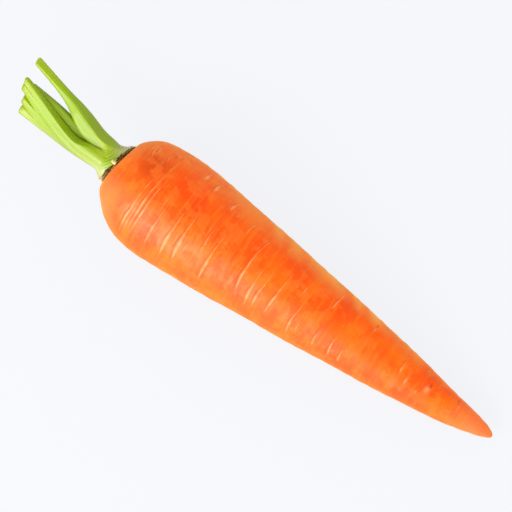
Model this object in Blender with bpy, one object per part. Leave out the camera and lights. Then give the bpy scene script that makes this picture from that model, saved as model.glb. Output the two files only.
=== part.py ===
"""A fresh carrot lying on its side, its leaf stalks cut short.

Metres, +Z up. The root points along +X, the cut stalks point along -X, and the origin is on the
surface it lies on, under the middle of the whole carrot. Each piece is modelled in the root's own
frame, whose X axis is the root's axis with 0 at the top of the crown. A parent empty then lays
the carrot down: the root tapers, so its axis slopes down towards the tip.
"""

import math

import bmesh
import bpy
from mathutils import Matrix, Vector
from mathutils.geometry import interpolate_bezier

MM = 0.001
TOUCH_GAP = 0.3 * MM  # between pieces that touch

# The root: 180 mm long and 43.6 mm thick at the shoulder. Its outline is three cubic curves, each
# as four points of (distance from the crown, radius), in millimetres.
SHOULDER_CURVE = ((0, 0), (4, 21.5), (21, 21.8), (30, 21.8))
BODY_CURVE = ((30, 21.8), (43.8, 21.8), (128.3, 11.4), (134, 10.5))
TIP_CURVE = ((134, 10.5), (172, 4.7), (180, 2.2), (180, 0))
CURVE_STEPS = (9, 12, 8)
ROOT_SIDES = 36

# How it lies: the taper near its balance point is against the surface, on a small pressed flat.
REST_TILT = math.radians(6.2)
REST_FLAT_DEPTH = 0.4 * MM

# The crown is a slanted disc, nearer the tip on the +Y side.
CROWN_X = 2.7 * MM
CROWN_SLANT = 0.15
CROWN_CENTRE_Y = 2.3 * MM

# The bunch of stalks: each station is a plane across the bunch, from the crown to the knife cut.
BUNCH_LENGTH = 41 * MM
CUT_SLANT = -0.216
STALK_BASE_REACH = 8.5 * MM  # the disc of the crown that the stalk bases fill
RIM_HEIGHT = 2.4 * MM  # the stalks stay inside that disc until they are past what stands on the rim
STALK_SIDES = 20
STALK_STATIONS = 13
STATION_CROWDING = 1.5  # over 1 sets the stations closer together near the crown
SHEATH_HALF_THICKNESS = 3.5 * MM  # where a stalk is wider than this it is a flatter sheath
FLARE = 0.7
FLARE_LENGTH = 1.6 * MM
CELL_SHARPNESS = 7  # how squarely pressed stalks meet: higher is squarer

# One stalk per line, in millimetres: its centre (across, up) at four stops along the bunch, its
# half width at the same stops, and how far its end stands past the common cut.
STOPS = (0.0, 0.36, 0.66, 1.0)
STALKS = {
    "leaf_stalk_1": (((5.0, 3.4), (7.2, 4.6), (12.1, 5.4), (16.2, 6.2)), (2.2, 4.7, 2.3, 1.7), -0.4),
    "leaf_stalk_2": (((0.3, 4.7), (0.2, 5.0), (3.0, 5.2), (7.8, 5.8)), (3.0, 2.7, 2.4, 1.7), 1.2),
    "leaf_stalk_3": (((-1.3, 2.6), (-1.7, 3.0), (0.6, 3.4), (5.0, 4.1)), (2.7, 2.7, 2.5, 2.1), 0.2),
    "leaf_stalk_4": (((-1.5, -0.6), (-2.3, 0.8), (-1.2, 1.3), (1.5, 2.1)), (2.6, 2.4, 2.1, 1.9), -0.9),
    "leaf_stalk_5": (((-0.9, -3.9), (-2.4, -1.7), (-2.4, -1.2), (-2.3, -0.8)), (3.0, 2.5, 2.2, 1.9), -1.2),
    "leaf_stalk_6": (((3.0, 0.0), (3.4, 0.6), (5.2, 0.9), (6.9, 1.2)), (3.1, 2.8, 2.7, 2.1), -2.0),
    "leaf_stalk_7": (((5.2, -4.1), (3.6, -3.4), (3.0, -2.9), (2.8, -2.6)), (3.4, 2.9, 2.3, 1.8), -1.5),
}

# Dry remains of older leaf bases round the crown's rim: start and end angle about the crown's
# centre, in degrees from +Y towards +Z, and height in millimetres.
DRY_LEAF_BASES = {
    "dry_leaf_base_1": (14, 80, 1.8),
    "dry_leaf_base_2": (104, 152, 1.5),
    "dry_leaf_base_3": (212, 262, 1.7),
    "dry_leaf_base_4": (282, 338, 1.4),
}
DRY_BASE_INNER = 8.8 * MM
DRY_BASE_THICKNESS = 0.8 * MM
DRY_BASE_STEPS = 10
SHOULDER_DROP = 0.6  # how far the shoulder falls away outside the rim, per distance out

# The stump of a small leaf that broke off, between two dry leaf bases.
STUMP_ANGLE = math.radians(92)
STUMP_REACH = 9.6 * MM
STUMP_RADIUS = 0.9 * MM
STUMP_HEIGHT = 2 * MM
STUMP_LEAN = math.radians(22)


def clear_scene():
    for obj in list(bpy.data.objects):
        bpy.data.objects.remove(obj, do_unlink=True)


def plant_material(name, colour, roughness):
    """A non-metal surface with one plain colour, given in linear RGB."""
    material = bpy.data.materials.new(name)
    material.use_nodes = True
    shader = material.node_tree.nodes["Principled BSDF"]
    shader.inputs["Base Color"].default_value = (*colour, 1)
    shader.inputs["Roughness"].default_value = roughness
    shader.inputs["Metallic"].default_value = 0
    return material


def add_piece(name, bm, material, lying):
    """Turns a closed bmesh into a smooth-shaded object that lies with the carrot."""
    bmesh.ops.recalc_face_normals(bm, faces=bm.faces[:])
    if bm.calc_volume(signed=True) < 0:
        bmesh.ops.reverse_faces(bm, faces=bm.faces[:])
    mesh = bpy.data.meshes.new(name)
    bm.to_mesh(mesh)
    bm.free()
    mesh.shade_smooth()
    mesh.set_sharp_from_angle(angle=math.radians(35))
    mesh.materials.append(material)
    piece = bpy.data.objects.new(name, mesh)
    piece.parent = lying
    bpy.context.scene.collection.objects.link(piece)
    return piece


def root_outline():
    """The root's outline in the XZ plane, from the crown's pole to the tip's."""
    outline = []
    for curve, steps in zip((SHOULDER_CURVE, BODY_CURVE, TIP_CURVE), CURVE_STEPS):
        start, first, second, end = (Vector((x * MM, 0, r * MM)) for x, r in curve)
        outline += interpolate_bezier(start, first, second, end, steps + 1)[:-1]
    return outline + [end]


def resting_height(outline):
    """How high the crown end of the axis is when the underside lies on its pressed flat."""
    reach = (p.x * math.sin(REST_TILT) + p.z * math.cos(REST_TILT) for p in outline)
    return max(reach) - REST_FLAT_DEPTH


def slice_off(bm, point, normal):
    """Cuts away what lies beyond a plane and closes the cut with one flat face."""
    everything = bm.verts[:] + bm.edges[:] + bm.faces[:]
    bmesh.ops.bisect_plane(bm, geom=everything, plane_co=point, plane_no=normal, clear_outer=True)
    bmesh.ops.holes_fill(bm, edges=[edge for edge in bm.edges if edge.is_boundary])


def make_root(outline, height, material, lying):
    bm = bmesh.new()
    points = [bm.verts.new(point) for point in outline]
    edges = [bm.edges.new(pair) for pair in zip(points, points[1:])]
    bmesh.ops.spin(
        bm,
        geom=points + edges,
        axis=(1, 0, 0),
        cent=(0, 0, 0),
        angle=math.tau,
        steps=ROOT_SIDES,
        use_merge=True,
    )
    bmesh.ops.remove_doubles(bm, verts=bm.verts[:], dist=0.001 * MM)
    bmesh.ops.recalc_face_normals(bm, faces=bm.faces[:])
    slice_off(bm, (CROWN_X, 0, 0), (-1, CROWN_SLANT, 0))
    down = Vector((math.sin(REST_TILT), 0, -math.cos(REST_TILT)))
    slice_off(bm, down * height, down)
    return add_piece("taproot", bm, material, lying)


def along(stops, share):
    """A value at this share of the bunch, read from a smooth curve through its four stops."""
    slopes = [
        (stops[min(i + 1, 3)] - stops[max(i - 1, 0)]) / (STOPS[min(i + 1, 3)] - STOPS[max(i - 1, 0)])
        for i in range(4)
    ]
    i = min(sum(share >= stop for stop in STOPS[1:]), 2)
    span = STOPS[i + 1] - STOPS[i]
    t = (share - STOPS[i]) / span
    rise = (3 - 2 * t) * t * t
    pull = (t - 1) * t * ((t - 1) * slopes[i] + t * slopes[i + 1]) * span
    return stops[i] * (1 - rise) + stops[i + 1] * rise + pull


def station_x(share, across):
    """Where a station's plane is along the root's axis, at this distance across it."""
    crown = CROWN_X - TOUCH_GAP + CROWN_SLANT * across
    cut = -BUNCH_LENGTH + CUT_SLANT * across
    return crown + (cut - crown) * share


def stalk_cell(name, share):
    """A stalk's centre, half width and flatness at a station."""
    centres, half_widths, _ = STALKS[name]
    centre = Vector(along(stops, share) * MM for stops in zip(*centres))
    half_width = along(half_widths, share) * MM
    flat = min(1, SHEATH_HALF_THICKNESS / half_width)
    flare = 1 + FLARE * math.exp(-share * BUNCH_LENGTH / FLARE_LENGTH)
    return centre, half_width * flare, flat


def free_reach(turn, radius, flat):
    """How far a stalk reaches in this direction where nothing presses on it."""
    return radius * flat / math.hypot(flat * math.cos(turn), math.sin(turn))


def crown_reach(centre, direction, share):
    """How far a stalk may reach before it would pass through what stands on the crown's rim."""
    edge = STALK_BASE_REACH + max(share * BUNCH_LENGTH - RIM_HEIGHT, 0)
    offset = centre - Vector((CROWN_CENTRE_Y, 0))
    along_ray = offset.dot(direction)
    return math.sqrt(max(along_ray**2 - offset.length_squared + edge**2, 0)) - along_ray


def stalk_ring(name, share):
    """A stalk's outline at a station: a rounded cell pressed flat where its neighbours are."""
    centre, radius, flat = stalk_cell(name, share)
    others = [stalk_cell(other, share) for other in STALKS if other != name]
    ring = []
    for side in range(STALK_SIDES):
        turn = math.tau * side / STALK_SIDES
        direction = Vector((math.cos(turn), math.sin(turn)))
        limits = [free_reach(turn, radius, flat), crown_reach(centre, direction, share)]
        for other_centre, other_radius, _ in others:
            between = other_centre - centre
            towards = between.normalized().dot(direction)
            middle = (between.length_squared + radius**2 - other_radius**2) / (2 * between.length)
            if towards > 0:
                limits.append(max(middle - TOUCH_GAP / 2, TOUCH_GAP) / towards)
        reach = sum((1 / limit) ** CELL_SHARPNESS for limit in limits) ** (-1 / CELL_SHARPNESS)
        across, up = centre + direction * reach
        ring.append(Vector((station_x(share, across), across, up)))
    return ring


def loft(rings):
    """A closed solid through rings of points, with flat ends."""
    bm = bmesh.new()
    loops = [[bm.verts.new(point) for point in ring] for ring in rings]
    for near, far in zip(loops, loops[1:]):
        for i, corner in enumerate(near):
            bm.faces.new((near[i - 1], corner, far[i], far[i - 1]))
    bm.faces.new(loops[0])
    bm.faces.new(loops[-1])
    return bm


def make_stalk(name, material, lying):
    reach = 1 + STALKS[name][2] * MM / BUNCH_LENGTH
    shares = [reach * (i / STALK_STATIONS) ** STATION_CROWDING for i in range(STALK_STATIONS + 1)]
    rings = [stalk_ring(name, share) for share in shares]
    return add_piece(name, loft(rings), material, lying)


def rim_point(angle, reach, height):
    """A point round the crown's rim, this far out and this far above the rim's plane."""
    across = CROWN_CENTRE_Y + reach * math.cos(angle)
    rim = CROWN_X - TOUCH_GAP + CROWN_SLANT * across
    return Vector((rim - height, across, reach * math.sin(angle)))


def make_dry_leaf_base(name, material, lying):
    """A thin curved scale standing on the rim, low at both ends and torn along its top."""
    start, end, height = DRY_LEAF_BASES[name]
    rings = []
    for step in range(DRY_BASE_STEPS + 1):
        share = step / DRY_BASE_STEPS
        angle = math.radians(start + (end - start) * share)
        torn = 0.86 + 0.14 * math.cos(9 * angle)
        top = height * MM * torn * (0.35 + 0.65 * math.sin(math.pi * share))
        outer = DRY_BASE_INNER + DRY_BASE_THICKNESS
        rings.append(
            [
                rim_point(angle, DRY_BASE_INNER, 0),
                rim_point(angle, outer, -DRY_BASE_THICKNESS * SHOULDER_DROP),
                rim_point(angle, outer, top),
                rim_point(angle, DRY_BASE_INNER, top),
            ]
        )
    return add_piece(name, loft(rings), material, lying)


def make_stump(material, lying):
    bm = bmesh.new()
    bmesh.ops.create_cone(
        bm,
        cap_ends=True,
        segments=10,
        radius1=STUMP_RADIUS,
        radius2=STUMP_RADIUS * 0.6,
        depth=STUMP_HEIGHT,
    )
    leaning = Matrix.Rotation(STUMP_LEAN - math.radians(90), 4, "Y")
    place = Matrix.Translation(rim_point(STUMP_ANGLE, STUMP_REACH, STUMP_HEIGHT / 3))
    bm.transform(place @ leaning)
    return add_piece("broken_stalk_stump", bm, material, lying)


def centre_on_origin(pieces, lying):
    """Moves the lying carrot along the surface until its whole box is centred on the origin."""
    bpy.context.view_layer.update()
    corners = [piece.matrix_world @ vertex.co for piece in pieces for vertex in piece.data.vertices]
    for axis in (0, 1):
        values = [corner[axis] for corner in corners]
        lying.location[axis] -= (min(values) + max(values)) / 2


def main():
    clear_scene()
    orange = plant_material("carrot_skin", (0.93, 0.13, 0.008), 0.42)
    green = plant_material("leaf_stalk_green", (0.42, 0.62, 0.06), 0.4)
    brown = plant_material("dry_leaf_base_brown", (0.1, 0.035, 0.008), 0.8)
    cream = plant_material("broken_stalk_cream", (0.72, 0.72, 0.32), 0.55)

    outline = root_outline()
    height = resting_height(outline)
    lying = bpy.data.objects.new("lying_carrot", None)
    lying.rotation_euler = (0, REST_TILT, 0)
    lying.location.z = height
    bpy.context.scene.collection.objects.link(lying)

    pieces = [make_root(outline, height, orange, lying)]
    pieces += [make_stalk(name, green, lying) for name in STALKS]
    pieces += [make_dry_leaf_base(name, brown, lying) for name in DRY_LEAF_BASES]
    pieces.append(make_stump(cream, lying))
    centre_on_origin(pieces, lying)


main()
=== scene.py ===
# %% [markdown]
# # A fresh carrot with cut leaf stalks
# A carrot is one swollen taproot with the stubs of its leaf stalks still on the crown. The CAD
# model holds its size and how it lies. This lesson grows the finished surface round that model:
# the skin with its cross scars, the ribbed green stalks, the dry brown leaf bases and the torn
# stump, and then a pale table, soft lights and a camera that looks straight down.

# %% Load the fixed frame
import math

import bpy
import numpy as np
from mathutils import Matrix, Vector


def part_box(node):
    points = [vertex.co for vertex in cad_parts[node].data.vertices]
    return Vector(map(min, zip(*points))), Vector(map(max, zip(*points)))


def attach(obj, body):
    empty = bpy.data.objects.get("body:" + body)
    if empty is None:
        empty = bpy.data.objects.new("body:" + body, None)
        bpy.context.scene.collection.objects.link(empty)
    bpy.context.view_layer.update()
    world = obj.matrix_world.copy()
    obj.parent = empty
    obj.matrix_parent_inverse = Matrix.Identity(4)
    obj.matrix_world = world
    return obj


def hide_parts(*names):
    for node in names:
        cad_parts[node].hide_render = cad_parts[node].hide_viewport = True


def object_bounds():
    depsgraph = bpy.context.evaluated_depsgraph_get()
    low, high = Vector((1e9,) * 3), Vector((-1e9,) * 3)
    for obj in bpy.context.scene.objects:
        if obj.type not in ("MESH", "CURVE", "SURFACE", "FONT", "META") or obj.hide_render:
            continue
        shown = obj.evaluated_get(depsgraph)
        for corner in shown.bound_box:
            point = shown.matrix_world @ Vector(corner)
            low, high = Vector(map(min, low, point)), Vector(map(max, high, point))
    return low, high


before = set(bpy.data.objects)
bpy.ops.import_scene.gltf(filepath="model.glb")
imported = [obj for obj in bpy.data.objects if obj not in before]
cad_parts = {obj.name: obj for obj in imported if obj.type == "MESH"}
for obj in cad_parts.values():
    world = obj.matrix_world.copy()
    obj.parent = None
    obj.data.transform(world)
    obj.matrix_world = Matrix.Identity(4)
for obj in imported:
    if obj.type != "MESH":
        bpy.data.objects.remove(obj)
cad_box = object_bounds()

print("CAD box, mm:", [[round(v * 1000, 1) for v in corner] for corner in cad_box])

# %% [markdown]
# ## One frame for a thing that lies down
# A root is easiest to shape about its own axis: X runs from the crown to the tip, and every
# section is nearly a circle. It tapers, so on a table that axis slopes down to the tip by a few
# degrees. Each piece is shaped in the root's frame, in millimetres, and one function then lays
# its points down where the CAD root lies.

# %% The root's outline and how it lies
MM = 0.001
REST_TILT = math.radians(6.2)
# Half the root's outline in three curves. Each is a start, two handles and an end, all as
# (distance from the crown, radius) in mm.
SHOULDER_CURVE = ((0, 0), (4, 21.5), (21, 21.8), (30, 21.8))
BODY_CURVE = ((30, 21.8), (43.8, 21.8), (128.3, 11.4), (134, 10.5))
TIP_CURVE = ((134, 10.5), (172, 4.7), (180, 2.2), (180, 0))


def bezier(points, count):
    """Points along a cubic curve from its start, two handles and end."""
    t = np.linspace(0, 1, count)[:, None]
    a, b, c, d = np.array(points, float)
    return (1 - t) ** 3 * a + 3 * (1 - t) ** 2 * t * b + 3 * (1 - t) * t**2 * c + t**3 * d


outline = np.concatenate(
    [bezier(SHOULDER_CURVE, 300)[:-1], bezier(BODY_CURVE, 400)[:-1], bezier(TIP_CURVE, 300)]
)
outline_arc = np.concatenate([[0], np.cumsum(np.linalg.norm(np.diff(outline, axis=0), axis=1))])
outline_slope = np.gradient(outline, outline_arc, axis=0)

tilt_cos, tilt_sin = math.cos(REST_TILT), math.sin(REST_TILT)
root_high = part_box("taproot")[1]
place_x = root_high.x / MM - (outline[:, 0] * tilt_cos + outline[:, 1] * tilt_sin).max()
place_z = root_high.z / MM - (outline[:, 1] * tilt_cos - outline[:, 0] * tilt_sin).max()


def lay_down(points):
    """Root frame, in millimetres, to the frame of the CAD, in metres."""
    x, y, z = np.moveaxis(np.asarray(points, float), -1, 0)
    across_table = x * tilt_cos + z * tilt_sin + place_x
    above_table = z * tilt_cos - x * tilt_sin + place_z
    return np.stack([across_table, y, above_table], -1) * MM


print(f"skin length from pole to pole {outline_arc[-1]:.1f} mm")
print(f"axis starts {place_z:.2f} mm above the table at x {place_x:.2f} mm")

# %% [markdown]
# ## Skins made of rings
# Root, stalks and scales are all closed tubes: rings of points, one after another, with a point
# at each end. So one helper builds every piece. It also lays the tube out flat as a UV map, with
# the way round as U and the way along as V, and keeps named values on the points. A material
# reads those values to know where a scar, a rib or a cut end is.

# %% Faces and a flat map for a tube
LEAST_CAP = 0.05  # a pole closer than this still gets some height on the map (mm)


def tube_faces(count, sides):
    """Quads between the rings, then a fan of triangles round each pole."""
    side = np.arange(sides)
    beside = (side + 1) % sides
    row = np.arange(count - 1)[:, None] * sides
    quads = np.stack([row + side, row + beside, row + sides + beside, row + sides + side], -1)
    first_pole, last_pole = count * sides, count * sides + 1
    last_row = (count - 1) * sides
    fans = [(first_pole, j, i) for i, j in zip(side, beside)]
    fans += [(last_pole, last_row + i, last_row + j) for i, j in zip(side, beside)]
    return quads.reshape(-1, 4).tolist() + fans


def tube_map(rings):
    """UV corners for tube_faces. V follows the real length of the tube."""
    sides = rings.shape[1]
    side = np.arange(sides)
    steps = np.linalg.norm(np.diff(rings, axis=0), axis=2).mean(1)
    caps = [np.linalg.norm(ring - ring.mean(0), axis=1).mean() for ring in (rings[0], rings[-1])]
    caps = np.maximum(caps, LEAST_CAP)
    tall = np.cumsum(np.concatenate([caps[:1], steps + 1e-4, caps[1:]]))
    tall = tall / tall[-1]
    u, v = np.meshgrid(side / sides, tall[:-1])
    low, high, left, right = v[:-1], v[1:], u[:-1], u[:-1] + 1 / sides
    wall = np.stack([left, low, right, low, right, high, left, high], -1).reshape(-1, 2)
    left, right = side / sides, (side + 1) / sides
    middle, zero, one = (left + right) / 2, np.zeros(sides), np.ones(sides)
    floor = np.stack([middle, zero, right, tall[0] * one, left, tall[0] * one], -1).reshape(-1, 2)
    roof = np.stack([middle, one, left, tall[-2] * one, right, tall[-2] * one], -1).reshape(-1, 2)
    return np.concatenate([wall, floor, roof])


# %% [markdown]
# Every piece hangs on the root's body, and a piece that replaces a CAD node hides that node. Its
# material, added further down, names its slot for everyone who uses the part later.

# %% A helper that turns rings into a piece
def tube_skin(name, rings, values=None, replaces=None):
    """A closed smooth piece through rings of points, with a pole at each end."""
    points = np.concatenate([rings.reshape(-1, 3), [rings[0].mean(0), rings[-1].mean(0)]])
    mesh = bpy.data.meshes.new(name)
    mesh.from_pydata(lay_down(points).tolist(), [], tube_faces(*rings.shape[:2]))
    layer = mesh.uv_layers.new(name="OFBake")
    layer.data.foreach_set("uv", tube_map(rings).astype(np.float32).ravel())
    for label, value in (values or {}).items():
        value = np.asarray(value, float)
        kind, field = ("FLOAT_VECTOR", "vector") if value.ndim == 3 else ("FLOAT", "value")
        at_poles = [value[0].mean(0), value[-1].mean(0)]
        value = np.concatenate([value.reshape(-1, *value.shape[2:]), at_poles])
        store = mesh.attributes.new(label, kind, "POINT")
        store.data.foreach_set(field, value.astype(np.float32).ravel())
    mesh.shade_smooth()
    piece = bpy.data.objects.new(name, mesh)
    bpy.context.scene.collection.objects.link(piece)
    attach(piece, "root")
    if replaces:
        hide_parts(replaces)
    return piece


# %% [markdown]
# ## Colours and nodes
# Real surfaces are described by the colour seen on a screen, so colours are written as sRGB hex
# and turned to linear light once. A second helper adds one node with its settings and its links.

# %% Helpers for materials
PER_METRE = 1000.0  # the scale of a pattern that repeats once per millimetre
FACTOR, COLOUR_A, COLOUR_B, MIXED = 0, 6, 7, 2  # sockets of a Mix node that mixes colours


def colour(code):
    """An sRGB hex colour as linear RGBA."""
    parts = [int(code[i : i + 2], 16) / 255 for i in (1, 3, 5)]
    return (*[c / 12.92 if c <= 0.04045 else ((c + 0.055) / 1.055) ** 2.4 for c in parts], 1)


def add_node(tree, kind, inputs=None, stops=(), **settings):
    """Adds a node. An input is a value, or another node's output that is linked to it."""
    made = tree.nodes.new(kind)
    for label, value in settings.items():
        setattr(made, label, value)
    for key, value in (inputs or {}).items():
        if isinstance(value, bpy.types.NodeSocket):
            tree.links.new(value, made.inputs[key])
        else:
            made.inputs[key].default_value = value
    for i, (place, tone) in enumerate(stops):
        element = made.color_ramp.elements[-1] if i else made.color_ramp.elements[0]
        if 0 < i < len(stops) - 1:
            element = made.color_ramp.elements.new(place)
        element.position = place
        element.color = colour(tone) if isinstance(tone, str) else (tone, tone, tone, 1)
    return made


def new_material(name, **fixed):
    """A material with one Principled shader, and values that are the same all over it."""
    material = bpy.data.materials.new(name)
    material.use_nodes = True
    shader = material.node_tree.nodes["Principled BSDF"]
    for label, value in fixed.items():
        shader.inputs[label.replace("_", " ")].default_value = value
    return material, material.node_tree, shader


# %% [markdown]
# ## The root: a grid that is finest where scars are
# The scars run across the root and are under a millimetre wide, so the grid needs many rings and
# rather few points round each ring. The first ring follows the slanted edge of the crown, where
# the CAD root is cut by a plane, and smaller rings inside it close the crown.

# %% The grid over the root
RINGS = 690
SIDES = 132
RING_CROWDING = 1.12  # over 1 sets rings closer together towards the crown
CROWN_X = 2.7
CROWN_SLANT = 0.15
CROWN_CENTRE_Y = 2.3

turn = np.arange(SIDES) / SIDES * math.tau + math.pi  # from straight up, towards +Y
near_crown = outline_arc < 30
start_arc = np.array(
    [
        np.interp(
            CROWN_X,
            (outline[:, 0] - CROWN_SLANT * outline[:, 1] * math.sin(angle))[near_crown],
            outline_arc[near_crown],
        )
        for angle in turn
    ]
)
share = np.linspace(0, 1, RINGS + 1)[:-1, None] ** RING_CROWDING
arc = start_arc + (outline_arc[-1] - start_arc) * share
along, radius = (np.interp(arc, outline_arc, outline[:, i]) for i in (0, 1))
slope_x, slope_r = (np.interp(arc, outline_arc, outline_slope[:, i]) for i in (0, 1))
angle = np.broadcast_to(turn, arc.shape)
from_rim = arc - start_arc
from_tip = outline_arc[-1] - arc
print(f"rings {np.diff(arc[:, 0]).min():.2f} to {np.diff(arc[:, 0]).max():.2f} mm apart")

# %% [markdown]
# ## Scars, pits and slow swellings
# A carrot's skin is pierced by rows of fine side roots. Where they broke off, and where the root
# stretched as it grew, cork closed the skin as pale lines across it, each with a thin groove beside
# it. They are carved as real relief, because a thumb can feel them. The plain ones on top are set one
# by one.

# %% Scars set one by one
# Where it starts, its middle and where it ends along the root (mm), from and to round the root
# (degrees from the top towards +Y), width (mm) and how strong it is.
SCARS = (
    (12.6, 12.6, 13.0, 70, 34, 0.7, 0.7),
    (14.4, 14.2, 14.0, 66, 44, 0.6, 0.6),
    (17.4, 17.6, 17.8, 52, 28, 0.5, 0.4),
    (19.0, 17.8, 19.4, 26, -69, 1.2, 1.0),
    (20.0, 19.3, 20.8, 8, -65, 0.7, 0.7),
    (23.0, 20.6, 21.6, 54, -56, 1.0, 1.0),
    (24.4, 22.3, 23.5, 44, -60, 0.9, 1.0),
    (27.4, 27.2, 27.8, 26, -12, 0.5, 0.4),
    (28.8, 28.8, 29.8, 14, -56, 1.0, 0.8),
    (35.6, 35.6, 37.0, 10, -57, 1.4, 1.0),
    (40.0, 40.3, 42.1, 18, -55, 1.5, 1.0),
    (11.6, 11.4, 11.2, 66, 50, 0.6, 0.8),
    (18.8, 18.6, 18.8, 56, 40, 0.6, 0.7),
    (21.6, 21.2, 20.8, 64, 54, 0.6, 0.7),
    (35.4, 34.6, 34.4, 67, 48, 1.2, 1.2),
    (34.2, 33.8, 33.4, 61, 49, 1.0, 1.1),
    (41.2, 40.0, 39.8, 66, 41, 1.3, 1.25),
    (39.9, 39.5, 39.2, 57, 43, 0.8, 1.0),
    (50.2, 49.3, 48.4, 60, 37, 1.2, 1.0),
    (45.0, 45.0, 45.4, 8, -20, 0.5, 0.4),
    (48.3, 48.2, 49.0, 26, -26, 0.8, 0.6),
    (52.7, 52.8, 54.4, 20, -60, 1.2, 1.0),
    (59.4, 58.7, 60.8, 4, 56, 0.6, 0.55),
    (52.9, 52.3, 52.0, 46, 34, 0.7, 0.5),
    (62.0, 61.6, 61.8, 34, 6, 0.5, 0.35),
    (70.0, 66.2, 69.6, 60, -52, 1.0, 1.0),
    (72.1, 72.2, 74.3, 16, -58, 1.0, 0.9),
    (76.1, 75.4, 76.6, 16, -54, 0.9, 0.85),
    (77.0, 76.2, 75.2, 66, 46, 0.8, 0.7),
    (82.4, 81.4, 81.6, 34, -50, 1.0, 1.0),
    (87.0, 86.6, 87.0, 6, -14, 0.5, 0.4),
    (90.2, 89.4, 88.6, 44, 2, 0.6, 0.5),
    (92.0, 91.4, 93.2, 2, -60, 1.0, 0.9),
    (95.4, 94.8, 95.4, -20, -46, 0.7, 0.6),
    (102.8, 102.0, 101.2, 62, 14, 0.8, 0.9),
    (103.0, 102.6, 103.8, -8, -58, 0.9, 0.7),
    (109.4, 109.4, 111.0, -4, -58, 1.0, 0.9),
    (114.0, 114.2, 115.2, -20, -56, 1.0, 0.8),
    (120.2, 119.6, 119.2, 64, 26, 0.6, 0.7),
    (125.6, 125.4, 125.8, 22, -12, 0.5, 0.4),
    (136.4, 136.2, 136.6, 38, -6, 1.2, 0.8),
    (140.2, 140.0, 140.3, 16, -20, 1.2, 0.75),
    (145.8, 145.6, 145.8, 0, -22, 0.9, 0.6),
    (156.6, 158.6, 162.6, -30, -4, 0.9, 0.6),
    (162.6, 162.6, 163.0, 66, -8, 0.8, 0.6),
)

# %% [markdown]
# One function carves every scar. Each is a curve across the root through three points, widest a
# little past its middle and fading at both ends, and it wavers, because skin never tears straight.
# It raises a ridge, cuts a slit beside it, and notes both in two masks for the colours: pale cork on
# the ridge, and painted shade in the slit.

# %% Carving a scar
RIDGE_HEIGHT, SLIT_DEPTH = 0.14, 0.17
SCAR_BELLY = 0.64  # how far along a scar it is widest
SLIT_PLACE = 0.95  # from the ridge towards the crown, in widths of the scar
FLANK_RELIEF = 0.45  # scars on the +Y flank lie flatter
relief = np.zeros_like(arc)
cork_line = np.zeros_like(arc)
# a colour mask of painted shade in the slit beside each scar
groove_painted_shade = np.zeros_like(arc)


def smooth_step(value, low, high):
    """0 up to low, 1 from high on, and an even S between them."""
    t = np.clip((value - low) / (high - low), 0, 1)
    return t * t * (3 - 2 * t)


def carve_scar(start, middle, end, angle_from, angle_to, width, strength, wave=0.0):
    """Adds one cork line and its groove to the relief, and to two colour masks: pale cork and painted
    shade in the slit.
    """
    centre = math.radians((angle_from + angle_to) / 2)
    half = math.radians(angle_to - angle_from) / 2
    offset = (angle - centre + math.pi) % math.tau - math.pi
    t = offset / half / 2 + 0.5
    inside = (t > 0) & (t < 1)
    line = start * (1 - t) * (1 - 2 * t) + middle * 4 * t * (1 - t) + end * t * (2 * t - 1)
    line = line + 0.07 * np.sin(17 * t + wave) + 0.035 * np.sin(41 * t + 2 * wave)
    swell = np.exp(-(((t - SCAR_BELLY) / 0.19) ** 2))
    fine = width * (0.26 + 0.5 * swell)
    taper = smooth_step(t, 0, 0.2) * smooth_step(1 - t, 0, 0.22) * inside
    broken = 0.72 + 0.28 * np.sin(37 * t + 5 * wave) * np.sin(11 * t + wave)
    across = (along - line) / fine
    ridge = np.exp(-((across * 1.5) ** 2)) * taper * broken
    slit = np.exp(-(((across + SLIT_PLACE) * 2.2) ** 2)) * taper
    bold = 1 - (1 - FLANK_RELIEF) * smooth_step(math.sin(centre), 0.3, 0.8)
    relief[:] += strength * bold * (RIDGE_HEIGHT * ridge - SLIT_DEPTH * slit)
    pale = np.clip(1.5 * ridge - 0.2, 0, 1)
    cork_line[:] = np.maximum(cork_line, strength * pale * (0.6 + 0.4 * swell))
    groove_painted_shade[:] = np.maximum(groove_painted_shade, strength * bold * slit)


for i, scar in enumerate(SCARS):
    carve_scar(*scar, wave=1.7 * i)
print(f"{len(SCARS)} scars set by hand")

# %% [markdown]
# The rest of the skin gets scars of the same kind from a seeded random source, so that the back is
# as finished as the front. Hair scars, too faint to place by hand, go all over.

# %% Scars on the rest of the skin
HAIR_SCARS = 130
BACK_SCARS = 64
chance = np.random.default_rng(11)
for i in range(BACK_SCARS):
    middle = 9 + 160 * chance.random() ** 1.15
    centre = chance.uniform(98, 262)
    half = chance.uniform(12, 42)
    bow = chance.normal(0, 1.1)
    lean = chance.normal(0, 0.9)
    direction = chance.choice((-1, 1))
    carve_scar(
        middle + bow + lean,
        middle,
        middle + bow - lean,
        centre - direction * half,
        centre + direction * half,
        chance.uniform(0.5, 1.3),
        chance.uniform(0.35, 1.0),
        wave=i,
    )
for i in range(HAIR_SCARS):
    middle = 7 + 165 * chance.random()
    centre = chance.uniform(0, 360)
    half = chance.uniform(5, 18)
    lean = chance.normal(0, 0.4)
    carve_scar(
        middle + lean,
        middle,
        middle - lean,
        centre + half,
        centre - half,
        chance.uniform(0.4, 0.7),
        chance.uniform(0.15, 0.42),
        wave=i,
    )
print(f"{BACK_SCARS} back scars and {HAIR_SCARS} hair scars, deepest {-relief.min():.2f} mm")

# %% [markdown]
# Where a thicker side root broke off, it left a pit with a raised rim and some soil in it. One
# root was only starting to grow, and lifts the skin as a small pale bump.

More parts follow.
